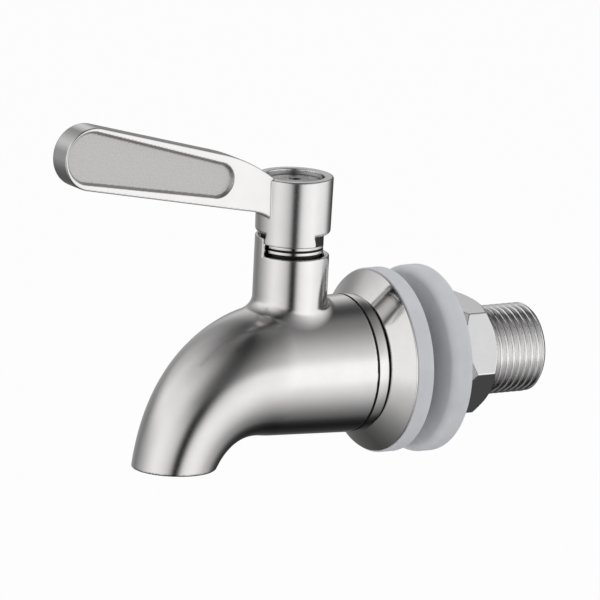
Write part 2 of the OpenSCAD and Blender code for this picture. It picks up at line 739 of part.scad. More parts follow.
module hex_nut() {
    corner_r = nut_w / 2 / cos(30);
    edge = nut_chamfer * (corner_r + eps - nut_w / 2) / (corner_r - nut_w / 2);
    color("gainsboro") difference() {
        intersection() {
            translate([0, nut_y, 0]) rotate([-90, 0, 0]) rotate([0, 0, -nut_turn + 30])
                cylinder(h = nut_t, r = corner_r, $fn = 6);
            turned_y([[0, nut_y], [nut_w / 2, nut_y], [corner_r + eps, nut_y + edge],
                [corner_r + eps, nut_y + nut_t - edge], [nut_w / 2, nut_y + nut_t],
                [0, nut_y + nut_t]]);
        }
        along_y(nut_y - eps, nut_y + nut_t + eps, shank_r + fit);
    }
}

spout_body();
inlet_adapter();
adapter_o_ring();
front_seat();
rear_seat();
valve_ball();
stem();
stem_thrust_washer();
lower_stem_o_ring();
upper_stem_o_ring();
gland_packing();
gland_nut();
glide_washer();
lever_handle();
handle_screw();
lock_washer();
flat_washer();
outer_seal_washer();
inner_seal_washer();
hex_nut();
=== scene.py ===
# Beverage dispenser spigot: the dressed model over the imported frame. Lengths in the code are millimetres
# until the meshes are made; the frame and Blender are in metres.
import math

import bpy
import numpy as np
from mathutils import Matrix, Vector


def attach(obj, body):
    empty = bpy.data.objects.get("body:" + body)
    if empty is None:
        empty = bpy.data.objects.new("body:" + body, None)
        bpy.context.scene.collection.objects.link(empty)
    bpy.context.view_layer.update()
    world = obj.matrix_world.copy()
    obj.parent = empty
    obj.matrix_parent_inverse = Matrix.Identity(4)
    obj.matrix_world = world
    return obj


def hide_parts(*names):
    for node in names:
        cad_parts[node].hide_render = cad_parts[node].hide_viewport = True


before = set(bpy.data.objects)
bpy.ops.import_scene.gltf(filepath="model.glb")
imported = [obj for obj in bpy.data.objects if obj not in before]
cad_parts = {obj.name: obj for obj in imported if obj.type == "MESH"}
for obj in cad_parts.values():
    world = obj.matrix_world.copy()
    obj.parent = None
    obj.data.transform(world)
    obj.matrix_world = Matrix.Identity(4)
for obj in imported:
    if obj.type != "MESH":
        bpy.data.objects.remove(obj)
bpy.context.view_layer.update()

MM = 0.001
STEM_Y = -18.5
PITCH = 1.337


# ---------------------------------------------------------------- signed distances
def fillet_min(a, b, r):
    """Union of two shapes with a fillet of radius r."""
    return np.maximum(np.minimum(a, b), r) - np.sqrt(np.maximum(r - a, 0) ** 2 + np.maximum(r - b, 0) ** 2)


def round_max(a, b, r):
    """Intersection of two shapes with an outer rounding of radius r."""
    return np.minimum(np.maximum(a, b), -r) + np.sqrt(np.maximum(a + r, 0) ** 2 + np.maximum(b + r, 0) ** 2)


def cubic(p, t):
    p = np.asarray(p, float)
    t = np.asarray(t, float)[:, None]
    return (1 - t) ** 3 * p[0] + 3 * (1 - t) ** 2 * t * p[1] + 3 * (1 - t) * t * t * p[2] + t ** 3 * p[3]


def sampled_bend():
    """Centres [y, z] and radii along the barrel and the spout, with a straight run past both cuts."""
    t = np.linspace(0, 1, 400)
    curve = cubic([[-23.0, 0], [-24.6, 0], [-39.095, -0.357], [-42.7, -18.4]], t)
    radius = cubic([[12.3], [12.237], [8.95], [7.56]], t)[:, 0]
    end = (curve[-1] - curve[-2]) / np.linalg.norm(curve[-1] - curve[-2])
    slope = (radius[-1] - radius[-2]) / np.linalg.norm(curve[-1] - curve[-2])
    s = np.linspace(0, 28, 60)[:0:-1]
    lead = np.stack([-23.0 + s, 0 * s], 1)
    far = np.linspace(0, 3, 9)[1:]
    pts = np.vstack([lead, curve, curve[-1] + far[:, None] * end])
    rad = np.concatenate([12.3 + 0.0393 * s, radius, radius[-1] + slope * far])
    arc = np.concatenate([[0], np.cumsum(np.linalg.norm(np.diff(pts, axis=0), axis=1))])
    even = np.linspace(0, arc[-1], 150)
    return (np.interp(even, arc, pts[:, 0]), np.interp(even, arc, pts[:, 1]), np.interp(even, arc, rad), even)


PATH_Y, PATH_Z, PATH_R, PATH_S = sampled_bend()


def sweep(p, radii):
    """Distance to the skin of balls that roll along the path."""
    out = np.empty(len(p))
    for i in range(0, len(p), 40000):
        q = p[i:i + 40000]
        d = np.sqrt(q[:, :1] ** 2 + (q[:, 1:2] - PATH_Y) ** 2 + (q[:, 2:3] - PATH_Z) ** 2) - radii
        k = np.clip(d.argmin(1), 1, d.shape[1] - 2)
        rows = np.arange(len(q))
        a, b, c = d[rows, k - 1], d[rows, k], d[rows, k + 1]
        bend = a - 2 * b + c
        out[i:i + 40000] = b - np.where(bend > 1e-9, (a - c) ** 2 / np.maximum(8 * bend, 1e-9), 0)
    return out


def tube_y(p, r, y0, y1, edge=0.0):
    """A cylinder along Y."""
    return round_max(np.hypot(p[:, 0], p[:, 2]) - r, np.abs(p[:, 1] - (y0 + y1) / 2) - (y1 - y0) / 2, edge)


def post(p, r, z0, z1, edge=0.0):
    """A cylinder about the stem's axis."""
    return round_max(np.hypot(p[:, 0], p[:, 1] - STEM_Y) - r, np.abs(p[:, 2] - (z0 + z1) / 2) - (z1 - z0) / 2, edge)


def wedge(p, start, sweep_deg):
    """The space between two half planes through the stem's axis, less than 180 degrees apart."""
    a, b = math.radians(start), math.radians(start + sweep_deg)
    y = p[:, 1] - STEM_Y
    return np.maximum(p[:, 0] * math.sin(a) - y * math.cos(a), y * math.cos(b) - p[:, 0] * math.sin(b))


def body_field(p):
    x, y, z = p[:, 0], p[:, 1], p[:, 2]
    skin = round_max(sweep(p, PATH_R), y + 6.2, 0.25)
    rho = np.hypot(x, y - STEM_Y)
    sine = (y - STEM_Y) / np.maximum(rho, 1e-6)
    top = np.minimum(z - 22.0, round_max(z - 25.4, wedge(p, 100, 178), 0.35))
    neck = round_max(rho - 7.0, np.maximum(top, -z), 0.22)
    f = fillet_min(skin, neck, 1.7 - 0.3 * sine)
    f = round_max(f, -(z + 17.2), 0.35)
    mouth = np.maximum(np.hypot(x, y + 42.26) - 6.0, np.abs(z + 17.2) - 4.0)
    flow = np.maximum(sweep(p, 0 * PATH_R + 5.0), y + 18.0)
    f = round_max(f, -np.minimum(mouth, flow), 0.35)
    gland = np.maximum(rho - 5.9, 17.45 - z)
    lip = np.maximum(np.maximum((rho - 5.9 + 21.6 - z) * 0.7071, 21.3 - z), rho - 6.3)
    f = round_max(f, -np.minimum(gland, lip), 0.12)
    inner = np.minimum(tube_y(p, 9.0, -26.82, -10.0), tube_y(p, 10.45, -10.17, -5.0))
    inner = np.minimum(inner, np.minimum(post(p, 4.6, 0, 10.87), post(p, 3.45, 0, 18.0)))
    return np.maximum(f, -inner)


def capsule(u, v, far, far_r, near, near_r):
    """Distance to a slot with two end radii."""
    dx, dy = far[0] - near[0], far[1] - near[1]
    length = math.hypot(dx, dy)
    ex, ey = dx / length, dy / length
    k = (near_r - far_r) / length
    a, b = (u - near[0]) * ex + (v - near[1]) * ey, np.abs((u - near[0]) * -ey + (v - near[1]) * ex)
    c = math.sqrt(1 - k * k)
    side = a * c + b * k * 0 + 0
    t = np.clip((a + b * k / c) / length, 0, 1)
    return np.hypot(a - t * length, b) - (near_r + (far_r - near_r) * t) + 0 * side


def blade_outline():
    """The blade's outline [distance from the stem's axis, z], anticlockwise."""
    lo, hi = math.radians(10.5), math.radians(14.5)
    c, r, root = np.array([45.6, 43.65]), 6.0, 6.3
    low_dir, top_dir = np.array([1, math.tan(lo)]), np.array([1, math.tan(hi)])
    low0 = c + r * np.array([math.sin(lo), -math.cos(lo)])
    top0 = c + r * np.array([-math.sin(hi), math.cos(hi)])
    low1, top1 = low0 - (low0[0] - 13.5) * low_dir, top0 - (top0[0] - 17.5) * top_dir
    low2, top2 = np.array([root, 29.1]), np.array([root, 37.3])
    a = np.linspace(lo - math.pi / 2, hi + math.pi / 2, 60)
    return np.vstack([
        cubic([low2, low2 + [1.2, 1.7], low1 - 3 * low_dir, low1], np.linspace(0, 1, 24)),
        c + r * np.stack([np.cos(a), np.sin(a)], 1),
        cubic([top1, top1 - 4.2 * top_dir, top2 + [3.5, 2.5], top2], np.linspace(0, 1, 28)),
        [[6.0, 36.8], [2.0, 36.7], [2.0, 29.1]]])


OUTLINE = blade_outline()
PANEL = (46.1, 43.9), 5.1, (18.3, 37.65), 3.4


def polygon(u, v, pts):
    """Signed distance to a closed polygon."""
    out = np.empty(len(u))
    a, b = pts, np.roll(pts, -1, 0)
    e = b - a
    ee = (e ** 2).sum(1)
    for i in range(0, len(u), 40000):
        wx, wy = u[i:i + 40000, None] - a[:, 0], v[i:i + 40000, None] - a[:, 1]
        t = np.clip((wx * e[:, 0] + wy * e[:, 1]) / ee, 0, 1)
        d = np.sqrt(((wx - e[:, 0] * t) ** 2 + (wy - e[:, 1] * t) ** 2).min(1))
        crosses = ((a[:, 1] <= v[i:i + 40000, None]) != (b[:, 1] <= v[i:i + 40000, None])) & (
            wx < wy * e[:, 0] / np.where(e[:, 1] == 0, 1e-12, e[:, 1]))
        out[i:i + 40000] = np.where(crosses.sum(1) % 2 == 1, -d, d)
    return out


def lever_field(p):
    x, y, z = p[:, 0], p[:, 1], p[:, 2]
    rho, u = np.hypot(x, y - STEM_Y), STEM_Y - y
    side = rho - (7.05 + 0.15 * (z - 26.8) / 10.0)
    foot = np.minimum(26.1 - z, round_max(24.25 - z, wedge(p, -80, 88), 0.2))
    hub = round_max(side, foot, 0.2 + 0.5 * np.clip(z - 25.0, 0, 1))
    hub = round_max(hub, z - 36.85, 0.35)
    blade = round_max(polygon(u, z, OUTLINE), np.abs(x) - 2.5, 0.3)
    f = np.where(u > 0, fillet_min(hub, blade, 0.15), np.minimum(hub, blade))
    slot = capsule(u, z, *PANEL)
    depth = 1.7 - np.abs(x)
    sink = round_max(slot + np.clip(2.5 - np.abs(x), 0, 0.8) * 0.55, depth, 0.12)
    f = round_max(f, -sink, 0.15)
    recess = round_max(rho - 5.45, 32.4 - z, 0.1)
    f = round_max(f, -recess, 0.25)
    below = np.maximum(rho - 6.05, z - 27.0)
    f = round_max(f, -below, 0.15)
    hole = np.maximum(np.maximum(np.abs(x), np.abs(y - STEM_Y)) - 2.2, np.abs(z - 30) - 6)
    return np.maximum(f, -hole)


def screw_field(p):
    x, y, z = p[:, 0], p[:, 1] - STEM_Y, p[:, 2]
    rho = np.hypot(x, y)
    big = (5.2 ** 2 + 0.45 ** 2) / 0.9
    dome = np.sqrt(rho ** 2 + (z - 36.18 + big) ** 2) - big
    head = round_max(round_max(rho - 5.2, 33.88 - z, 0.15), dome, 0.3)
    f = np.minimum(head, np.maximum(rho - 1.45, np.abs(z - 29.3) - 4.8))
    hexagon = np.maximum(np.abs(x), np.abs(x) * 0.5 + np.abs(y) * 0.8660) - 1.0
    return round_max(f, -np.maximum(hexagon, 34.78 - z), 0.12)


def nut_field(p):
    x, y, z = p[:, 0], p[:, 1], p[:, 2]
    end = np.abs(y - 18.525) - 3.225
    f = end
    for k in range(3):
        a = math.radians(21.4 + 60 * k)
        flat = np.abs(x * math.cos(a) + z * math.sin(a)) - 10.05
        f = round_max(f, flat, 0.12)
    rho = np.hypot(x, z)
    f = round_max(f, (rho - 10.05) * 0.670 + end * 0.742, 0.1)
    bore = rho - 8.38 - np.maximum(end + 0.35, 0)
    return round_max(f, -bore, 0.08)


# ---------------------------------------------------------------- meshes
def gradient(field, p, h=0.02):
    g = np.empty_like(p)
    for k in range(3):
        d = np.zeros(3)
        d[k] = h
        g[:, k] = field(p + d) - field(p - d)
    return g / (2 * h)


def net(field, lo, hi, step, soft=0.04):
    """A closed mesh of quads on the zero surface of a field: one vertex in each grid cell that it crosses.
    The normals are taken over the distance soft."""
    lo, hi = np.asarray(lo, float), np.asarray(hi, float)
    block = 4
    n = (np.ceil((hi - lo) / (step * block)).astype(int)) * block + 1
    axes = [lo[k] + step * np.arange(n[k]) for k in range(3)]
    mid = [a[block // 2::block] for a in axes]
    shape = [len(m) for m in mid]
    centre = np.stack(np.meshgrid(*mid, indexing="ij"), -1).reshape(-1, 3)
    near = (np.abs(field(centre)) < step * block * 1.05).reshape(shape)
    rough = np.where(field(centre) < 0, -9.0, 9.0).reshape(shape)
    grid = np.full(n, 9.0)
    fill = np.repeat(np.repeat(np.repeat(rough, block, 0), block, 1), block, 2)
    grid[:fill.shape[0], :fill.shape[1], :fill.shape[2]] = fill
    want = np.zeros(n, bool)
    for dx in (0, 1):
        for dy in (0, 1):
            for dz in (0, 1):
                big = np.repeat(np.repeat(np.repeat(near, block, 0), block, 1), block, 2)
                want[dx:dx + big.shape[0], dy:dy + big.shape[1], dz:dz + big.shape[2]] |= big
    idx = np.argwhere(want)
    grid[want] = field(np.stack([axes[k][idx[:, k]] for k in range(3)], 1))
    inside = grid < 0
    cells = np.zeros(np.array(n) - 1, int)
    for dx in (0, 1):
        for dy in (0, 1):
            for dz in (0, 1):
                cells += inside[dx:n[0] - 1 + dx, dy:n[1] - 1 + dy, dz:n[2] - 1 + dz]
    cut = np.argwhere((cells > 0) & (cells < 8))
    label = np.full(cells.shape, -1)
    label[tuple(cut.T)] = np.arange(len(cut))
    total, count = np.zeros((len(cut), 3)), np.zeros(len(cut))
    corners = [(i, j, k) for i in (0, 1) for j in (0, 1) for k in (0, 1)]
    for a in corners:
        for k in range(3):
            if a[k]:
                continue
            b = tuple(a[m] + (m == k) for m in range(3))
            va, vb = grid[tuple((cut + a).T)], grid[tuple((cut + b).T)]
            hit = (va < 0) != (vb < 0)
            t = np.where(hit, va / np.where(hit, va - vb, 1), 0)
            point = cut + np.array(a, float)
            point[:, k] += t
            total += point * hit[:, None]
            count += hit
    verts = lo + step * total / count[:, None]
    faces = []
    for k in range(3):
        u, v = [m for m in range(3) if m != k]
        first = [slice(None)] * 3
        second = [slice(None)] * 3
        first[k], second[k] = slice(0, -1), slice(1, None)
        change = inside[tuple(first)] != inside[tuple(second)]
        at = np.argwhere(change)
        at = at[(at[:, u] > 0) & (at[:, v] > 0) & (at[:, u] < n[u] - 1) & (at[:, v] < n[v] - 1)]
        du, dv = np.eye(3, dtype=int)[u], np.eye(3, dtype=int)[v]
        quad = np.stack([label[tuple((at - du * i - dv * j).T)] for i, j in ((0, 0), (1, 0), (1, 1), (0, 1))], 1)
        outward = inside[tuple(at.T)]
        if k == 1:
            outward = ~outward
        quad[~outward] = quad[~outward][:, ::-1]
        faces.append(quad)
    faces = np.vstack(faces)
    for _ in range(3):
        g = gradient(field, verts)
        size = np.maximum((g ** 2).sum(1), 0.25)
        move = -g * (field(verts) / size)[:, None]
        far = np.linalg.norm(move, axis=1)
        verts += move * np.minimum(1, 0.4 * step / np.maximum(far, 1e-9))[:, None]
    normals = gradient(field, verts, soft)
    normals /= np.maximum(np.linalg.norm(normals, axis=1), 1e-9)[:, None]
    return verts, faces, normals


def make(name, verts, faces, materials, body, replaced, normals=None, sharp=None, pick=None):
    """A mesh object from millimetre points, in place of a CAD node."""
    mesh = bpy.data.meshes.new(name)
    mesh.from_pydata((np.asarray(verts) * MM).tolist(), [], [tuple(f) for f in np.asarray(faces).tolist()]
                     if isinstance(faces, np.ndarray) else faces)
    for m in materials:
        mesh.materials.append(m)
    mesh.polygons.foreach_set("use_smooth", [True] * len(mesh.polygons))
    if pick is not None:
        mesh.polygons.foreach_set("material_index", pick(np.asarray(verts)[np.asarray(faces)].mean(1)))
    mesh.validate()
    mesh.update()
    if normals is not None:
        mesh.normals_split_custom_set_from_vertices(normals.tolist())
    elif sharp is not None:
        mesh.set_sharp_from_angle(angle=math.radians(sharp))
    obj = bpy.data.objects.new(name, mesh)
    bpy.context.scene.collection.objects.link(obj)
    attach(obj, body)
    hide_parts(replaced)
    return obj


def lathe(profile, n, axis, centre=(0, 0, 0), shape=None):
    """A closed profile [radius, height] turned about Y or Z through centre; shape may change the radii."""
    prof = np.asarray(profile, float)
    angle = np.linspace(0, 2 * math.pi, n, endpoint=False)
    r = np.repeat(prof[:, :1], n, 1)
    h = np.repeat(prof[:, 1:], n, 1)
    if shape is not None:
        r = shape(r, h, np.repeat(angle[None], len(prof), 0))
    if axis == "y":
        v = np.stack([r * np.sin(angle), h, r * np.cos(angle)], -1)
    else:
        v = np.stack([r * np.cos(angle), r * np.sin(angle), h], -1)
    v = v.reshape(-1, 3) + np.asarray(centre, float)
    m = len(prof)
    i, j = np.meshgrid(np.arange(m), np.arange(n), indexing="ij")
    i2, j2 = (i + 1) % m, (j + 1) % n
    quads = np.stack([i * n + j, i * n + j2, i2 * n + j2, i2 * n + j], -1).reshape(-1, 4)
    return v, quads


def rounded(points, steps=5):
    """A closed profile whose corners [radius, height, rounding] become arcs."""
    out = []
    m = len(points)
    for i in range(m):
        p = np.array(points[i][:2], float)
        r = points[i][2] if len(points[i]) > 2 else 0
        if r <= 0:
            out.append(p)
            continue
        a, b = np.array(points[i - 1][:2], float) - p, np.array(points[(i + 1) % m][:2], float) - p
        a, b = a / np.linalg.norm(a), b / np.linalg.norm(b)
        half = math.acos(max(-1, min(1, float(a @ b)))) / 2
        cut = r / math.tan(half)
        c = p + (a + b) / np.linalg.norm(a + b) * r / math.sin(half)
        start, end = p + a * cut - c, p + b * cut - c
        turn = math.atan2(start[0] * end[1] - start[1] * end[0], float(start @ end))
        for k in range(steps + 1):
            t = turn * k / steps
            out.append(c + np.array([start[0] * math.cos(t) - start[1] * math.sin(t),
                                     start[0] * math.sin(t) + start[1] * math.cos(t)]))
    return out


# ---------------------------------------------------------------- materials
class Look:
    """A node material with a Principled shader."""

    def __init__(self, name, color, metallic=0.0, roughness=0.5):
        self.mat = bpy.data.materials.new(name)
        self.mat.use_nodes = True
        self.tree = self.mat.node_tree
        self.shader = self.tree.nodes["Principled BSDF"]
        self.set("Base Color", (*color, 1))
        self.set("Metallic", metallic)
        self.set("Roughness", roughness)
        self.coord = self.node("ShaderNodeTexCoord")

    def node(self, kind, **values):
        n = self.tree.nodes.new(kind)
        for key, value in values.items():
            setattr(n, key, value)
        return n

    def set(self, socket, value):
        self.shader.inputs[socket].default_value = value

    def link(self, a, b):
        self.tree.links.new(a, b)

    def noise(self, scale, stretch=(1, 1, 1), detail=4.0, rough=0.55):
        """Noise in object space; stretch makes it long along the axis with the small number."""
        place = self.node("ShaderNodeMapping")
        place.inputs["Scale"].default_value = stretch
        self.link(self.coord.outputs["Object"], place.inputs["Vector"])
        n = self.node("ShaderNodeTexNoise")
        n.inputs["Scale"].default_value = scale
        n.inputs["Detail"].default_value = detail
        n.inputs["Roughness"].default_value = rough
        self.link(place.outputs["Vector"], n.inputs["Vector"])
        return n.outputs["Fac"]

    def spread(self, value, low, high, start=0.3, end=0.7):
        """Maps a value between start and end onto low to high."""
        m = self.node("ShaderNodeMapRange")
        m.inputs["From Min"].default_value = start
        m.inputs["From Max"].default_value = end
        m.inputs["To Min"].default_value = low
        m.inputs["To Max"].default_value = high
        self.link(value, m.inputs["Value"])
        return m.outputs["Result"]

    def tint(self, value, dark, light):
        """Base colour between two shades."""
        ramp = self.node("ShaderNodeValToRGB")
        ramp.color_ramp.elements[0].position = 0.3
        ramp.color_ramp.elements[1].position = 0.7
        ramp.color_ramp.elements[0].color = (*dark, 1)
        ramp.color_ramp.elements[1].color = (*light, 1)
        self.link(value, ramp.inputs["Fac"])
        self.link(ramp.outputs["Color"], self.shader.inputs["Base Color"])
        return ramp

    def bump(self, value, strength, distance, chain=None):
        b = self.node("ShaderNodeBump")
        b.inputs["Strength"].default_value = strength
        b.inputs["Distance"].default_value = distance
        self.link(value, b.inputs["Height"])
        if chain is not None:
            self.link(chain, b.inputs["Normal"])
        self.link(b.outputs["Normal"], self.shader.inputs["Normal"])
        return b.outputs["Normal"]


def steel(name, tone, rough, grain=(1, 1, 1), grain_scale=9000, spread=0.05, bump=0.03, edge=0.06):
    """Stainless steel with fine brushed grain, faint cloudy tone and lighter worn edges."""
    look = Look(name, tone, 1.0, rough)
    fine = look.noise(grain_scale, grain, 3.0, 0.6)
    cloud = look.noise(260, (1, 1, 1), 3.0, 0.5)
    both = look.node("ShaderNodeMath", operation="MULTIPLY_ADD")
    look.link(fine, both.inputs[0])
    both.inputs[1].default_value = 0.6
    scaled = look.spread(cloud, 0.0, 0.4, 0.2, 0.8)
    look.link(scaled, both.inputs[2])
    look.tint(both.outputs[0], [c - 0.025 for c in tone], [min(c + 0.025, 1) for c in tone])
    worn = look.node("ShaderNodeNewGeometry")
    wear = look.spread(worn.outputs["Pointiness"], 0.0, -edge, 0.52, 0.62)
    base = look.spread(fine, rough - spread, rough + spread, 0.25, 0.75)
    total = look.node("ShaderNodeMath", operation="ADD")
    look.link(base, total.inputs[0])
    look.link(wear, total.inputs[1])
    look.link(total.outputs[0], look.shader.inputs["Roughness"])
    if bump:
        look.bump(fine, bump, 0.00002)
    return look


satin = steel("satin steel", (0.80, 0.787, 0.782), 0.17, (1, 1, 0.35), 5200, 0.03, 0.04)
satin_lever = steel("satin steel of the lever", (0.80, 0.79, 0.787), 0.19, (1, 0.3, 0.9), 5200, 0.03, 0.04)
polished = steel("polished steel", (0.80, 0.787, 0.78), 0.10, (1, 1, 1), 3500, 0.02, 0.02)
turned = steel("turned steel", (0.79, 0.778, 0.772), 0.13, (1, 8, 1), 2200, 0.03, 0.05)
thread_look = steel("threaded steel", (0.82, 0.81, 0.808), 0.17, (1, 3, 1), 3000, 0.04, 0.05)
bright = steel("bright nut steel", (0.82, 0.82, 0.825), 0.12, (1, 1, 1), 3200, 0.03, 0.03)
# Painted shade: the screw steel is darkened to stand in for the shade inside the lever's recess.
screw_steel_recess_shade = steel("screw steel with painted recess shade", (0.36, 0.36, 0.37), 0.27, (1, 1, 6), 2600, 0.05, 0.06)
# Painted shade: the walls of the grip panel's recess get a darker steel that stands in for the shade inside the
# recess.
panel_wall_shade = steel("steel of the panel's wall with painted shade", (0.5, 0.49, 0.485), 0.35, (1, 1, 1), 2600, 0.05, 0.04)
# Painted shade: a near-black material put on grooves and gaps between parts where shade falls, not a darker steel.
shaded = steel("painted shade in the grooves", (0.05, 0.05, 0.05), 0.5, (1, 1, 1), 2600, 0.05, 0.02)

blasted = Look("blasted steel of the grip panel", (0.63, 0.618, 0.613), 0.75, 0.5)
grit = blasted.noise(3600, (1, 1, 1), 2.0, 0.7)
blasted.tint(grit, (0.54, 0.528, 0.524), (0.72, 0.706, 0.7))
blasted.link(blasted.spread(grit, 0.44, 0.58), blasted.shader.inputs["Roughness"])
blasted.bump(grit, 0.25, 0.00004)

silicone = Look("silicone", (0.6, 0.607, 0.63), 0.0, 0.42)
haze = silicone.noise(180, (1, 1, 1), 3.0, 0.5)
silicone.tint(haze, (0.575, 0.582, 0.605), (0.63, 0.637, 0.66))
silicone.set("Subsurface Weight", 0.35)
silicone.set("Subsurface Radius", (0.9, 0.95, 1.0))
silicone.set("Subsurface Scale", 0.0015)
silicone.set("Specular IOR Level", 0.35)
skin = silicone.noise(2600, (1, 1, 1), 2.0, 0.6)
silicone.link(silicone.spread(skin, 0.38, 0.48), silicone.shader.inputs["Roughness"])
silicone.bump(skin, 0.06, 0.00003)

rubber = Look("black rubber", (0.04, 0.04, 0.04), 0.0, 0.5)
rubber_grain = rubber.noise(2500)
rubber.tint(rubber_grain, (0.03, 0.03, 0.03), (0.05, 0.05, 0.05))
rubber.bump(rubber_grain, 0.1, 0.00002)

plastic = Look("white seat plastic", (0.88, 0.88, 0.86), 0.0, 0.35)
plastic_grain = plastic.noise(1800)
plastic.tint(plastic_grain, (0.85, 0.85, 0.83), (0.9, 0.9, 0.88))
plastic.bump(plastic_grain, 0.05, 0.00002)

# The CAD screw washers take the screw steel, whose dark tone is painted recess shade.
KEPT = {
    "adapter_o_ring": rubber, "lower_stem_o_ring": rubber, "upper_stem_o_ring": rubber,
    "front_seat": plastic, "rear_seat": plastic, "stem_thrust_washer": plastic, "gland_packing": plastic,
    "glide_washer": plastic, "valve_ball": polished, "stem": satin, "lock_washer": screw_steel_recess_shade,
    "flat_washer": screw_steel_recess_shade,
}
for node, look in KEPT.items():
    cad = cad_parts[node]
    cad.data.materials.clear()
    cad.data.materials.append(look.mat)

# ---------------------------------------------------------------- pieces
v, f, nrm = net(body_field, (-13.6, -51.2, -18.2), (13.6, -5.4, 26.2), 0.34, 0.14)
make("spout_casting", v, f, [satin.mat], "body", "spout_body", normals=nrm)

v, f, nrm = net(lever_field, (-7.9, -70.8, 23.6), (7.9, -10.6, 50.4), 0.24)


def on_panel(c):
    u = STEM_Y - c[:, 1]
    slot = capsule(u, c[:, 2], *PANEL)
    kinds = ((np.abs(c[:, 0]) < 1.85) & (u > 12) & (slot < -0.38)).astype(int)
    # Kind 2 is painted shade on the walls of the panel's recess.
    kinds[(np.abs(c[:, 0]) < 2.42) & (u > 12) & (slot < 0.1) & (kinds == 0)] = 2
    return kinds


make("lever_casting", v, f, [satin_lever.mat, blasted.mat, panel_wall_shade.mat], "lever", "lever_handle",
     normals=nrm, pick=on_panel)

# The screw head deep in the recess takes the screw steel with painted recess shade.
v, f, nrm = net(screw_field, (-5.6, STEM_Y - 5.6, 24.0), (5.6, STEM_Y + 5.6, 36.7), 0.16)
make("cap_screw", v, f, [screw_steel_recess_shade.mat], "lever", "handle_screw", normals=nrm)

v, f, nrm = net(nut_field, (-12.2, 14.8, -12.2), (12.2, 22.3, 12.2), 0.22)
make("shank_nut", v, f, [bright.mat], "nut", "hex_nut", normals=nrm)

# Adapter: ring, cone and shank turned in one piece, with the helical thread on the shank
rows = np.arange(1.0, 33.24, PITCH / 16)
front = rounded([[5.0, -10.15, 0], [10.4, -10.15, 0.3], [10.4, -6.12, 0], [12.96, -6.1, 0.28],
                 [12.96, -3.84, 0.2], [11.6, -3.84, 0], [11.6, -3.38, 0], [12.42, -3.38, 0.08],
                 [16.97, -0.3, 0.12], [16.97, 0.0, 0.1], [8.33, 0.0, 0]], 6)
back = [[7.75, 33.66], [7.55, 33.74], [5.25, 33.74], [5.0, 33.5]]
profile = np.vstack([front, np.stack([0 * rows + 8.33, rows], 1), back,
                     np.stack([np.full(8, 5.0), np.linspace(30, -8, 8)], 1)])


def threaded(r, h, angle):
    phase = (h / PITCH - angle / (2 * math.pi)) % 1.0
    w = np.clip((np.abs(2 * phase - 1) - 0.24) / 0.68, 0, 1)
    w = 0.4 * w + 0.6 * w * w * (3 - 2 * w)
    fade = np.clip((h - 1.2) / 1.2, 0, 1)
    cut = 8.33 - 0.84 * w * fade
    chamfer = np.minimum(8.33, 7.75 + np.maximum(33.66 - h, 0))
    return np.where((r > 8.32) & (h > 0.9), np.minimum(cut, chamfer), r)


v, f = lathe(profile, 160, "y", shape=threaded)


def on_thread(c):
    rho = np.hypot(c[:, 0], c[:, 2])
    kinds = np.zeros(len(c), int)
    kinds[(c[:, 1] > 0.2)] = 1
    kinds[(c[:, 1] < -3.5) & (rho > 11)] = 2
    # Kind 3 is painted shade: the groove between the ring and the cone, and the ring's front corner against the body.
    kinds[(np.abs(c[:, 1] + 3.6) < 0.25) & (rho > 11) & (rho < 12.35)] = 3
    kinds[(c[:, 1] < -5.88) & (rho > 11)] = 3
    return kinds


make("adapter_turning", v, f, [polished.mat, thread_look.mat, turned.mat, shaded.mat], "body", "inlet_adapter",
     sharp=38, pick=on_thread)

v, f = lathe(rounded([[3.1, 19.44, 0], [5.35, 19.44, 0.1], [5.35, 22.55, 0], [5.85, 22.55, 0.08],
                      [5.85, 23.12, 0.08], [5.4, 23.12, 0], [5.4, 23.5, 0], [5.85, 23.5, 0.08],
                      [5.85, 24.0, 0], [5.85, 26.3, 0.2], [3.1, 26.3, 0]], 4),
             160, "z", (0, STEM_Y, 0))


# Painted shade on the gland ring: its groove and its upper land behind the lever's skirt take the near-black
# material.
def gland_painted_shade(c):
    rho = np.hypot(c[:, 0], c[:, 1] - STEM_Y)
    low = (rho < 5.75) & (c[:, 2] < 24) & (c[:, 2] > 19.6)
    return ((rho > 5.3) & (low | (c[:, 2] > 24.0))).astype(int)


make("gland_ring", v, f, [polished.mat, shaded.mat], "body", "gland_nut", sharp=30, pick=gland_painted_shade)

v, f = lathe(rounded([[8.4, 0.02, 0], [17.28, 0.02, 0.3], [17.28, 3.41, 0.45], [8.4, 3.41, 0.1]], 7), 256, "y")
make("flange_washer", v, f, [silicone.mat], "body", "outer_seal_washer", sharp=50)

v, f = lathe(rounded([[8.65, 7.6, 0.2], [17.5, 7.6, 1.5], [17.5, 11.9, 0.75], [8.65, 11.9, 0.2]], 14), 256, "y",
             (0, 0, -0.3))
make("wall_washer", v, f, [silicone.mat], "clamp_washer", "inner_seal_washer", sharp=50)

# ---------------------------------------------------------------- camera
AZ, EL, ROLL = math.radians(57.9), math.radians(12.70), math.radians(-2.713)
back_dir = Vector((math.sin(AZ) * math.cos(EL), -math.cos(AZ) * math.cos(EL), math.sin(EL)))
right = Vector((math.cos(AZ), math.sin(AZ), 0))
up = back_dir.cross(right)
cam_x = right * math.cos(ROLL) - up * math.sin(ROLL)
cam_y = right * math.sin(ROLL) + up * math.cos(ROLL)
camera = bpy.data.objects.new("camera", bpy.data.cameras.new("camera"))
bpy.context.scene.collection.objects.link(camera)
spot = back_dir * 4.674 + cam_x * -0.01319 + cam_y * 0.011195
camera.matrix_world = Matrix((
    (cam_x.x, cam_y.x, back_dir.x, spot.x),
    (cam_x.y, cam_y.y, back_dir.y, spot.y),
    (cam_x.z, cam_y.z, back_dir.z, spot.z),
    (0, 0, 0, 1)))
camera.data.sensor_width = 36
camera.data.lens = 1502
camera.data.clip_start = 0.5
camera.data.clip_end = 30
bpy.context.scene.camera = camera

